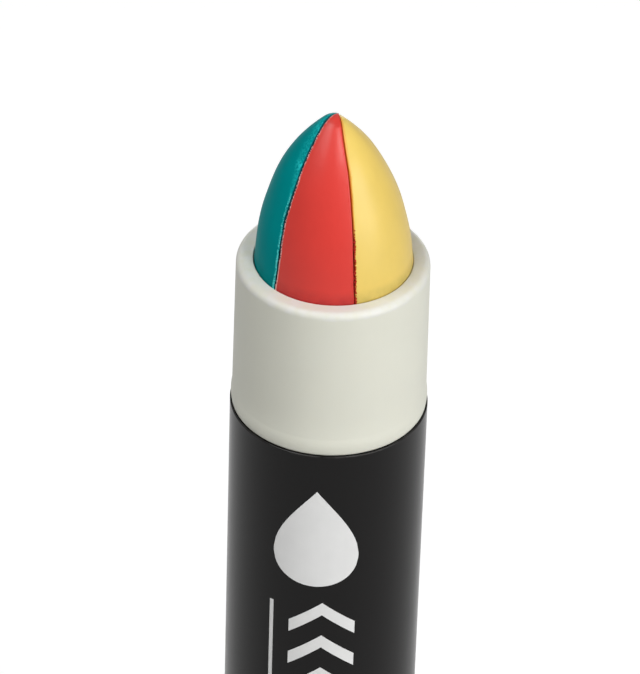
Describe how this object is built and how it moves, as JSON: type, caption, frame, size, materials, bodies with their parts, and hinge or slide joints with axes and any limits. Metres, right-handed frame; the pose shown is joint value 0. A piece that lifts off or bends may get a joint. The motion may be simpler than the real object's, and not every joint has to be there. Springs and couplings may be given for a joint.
{
  "type": "solid paint marker",
  "caption": "Twist-up solid paint marker, uncapped: multi-colour pointed paint stick in an off-white neck, black sleeve over the barrel and a fluted twist knob.",
  "frame": {"origin": "centre of the twist knob's flat base, on the marker's axis", "axes": "+Z along the marker towards the paint tip; -Y is the front, the side that the picture shows"},
  "size_m": [0.0216, 0.0216, 0.1464],
  "materials": {
    "shell_plastic": "satin moulded off-white plastic",
    "black_sleeve": "satin black plastic",
    "mechanism_plastic": "natural moulded plastic",
    "teal_paint": "waxy solid paint",
    "red_paint": "waxy solid paint",
    "yellow_paint": "waxy solid paint"
  },
  "bodies": {
    "barrel": {"barrel": "shell_plastic", "outer_sleeve": "black_sleeve", "base_bearing": "mechanism_plastic", "thrust_washer": "mechanism_plastic"},
    "knob": {"twist_knob": "shell_plastic", "knob_plug": "shell_plastic", "lead_screw": "mechanism_plastic"},
    "paint": {"carrier_cup": "mechanism_plastic", "teal_paint": "teal_paint", "red_paint": "red_paint", "yellow_paint": "yellow_paint"}
  },
  "joints": [
    {"name": "knob_turn", "type": "hinge", "parent": "barrel", "child": "knob", "pos_m": [0, 0, 0.0192], "axis": [0, 0, 1], "range_deg": [-1440, 2304]},
    {"name": "paint_feed", "type": "slide", "parent": "barrel", "child": "paint", "axis": [0, 0, 1], "range_m": [-0.02, 0.032]}
  ],
  "couplings": [
    {"joint": "paint_feed", "follows": "knob_turn", "m_per_rad": 0.00079577}
  ]
}
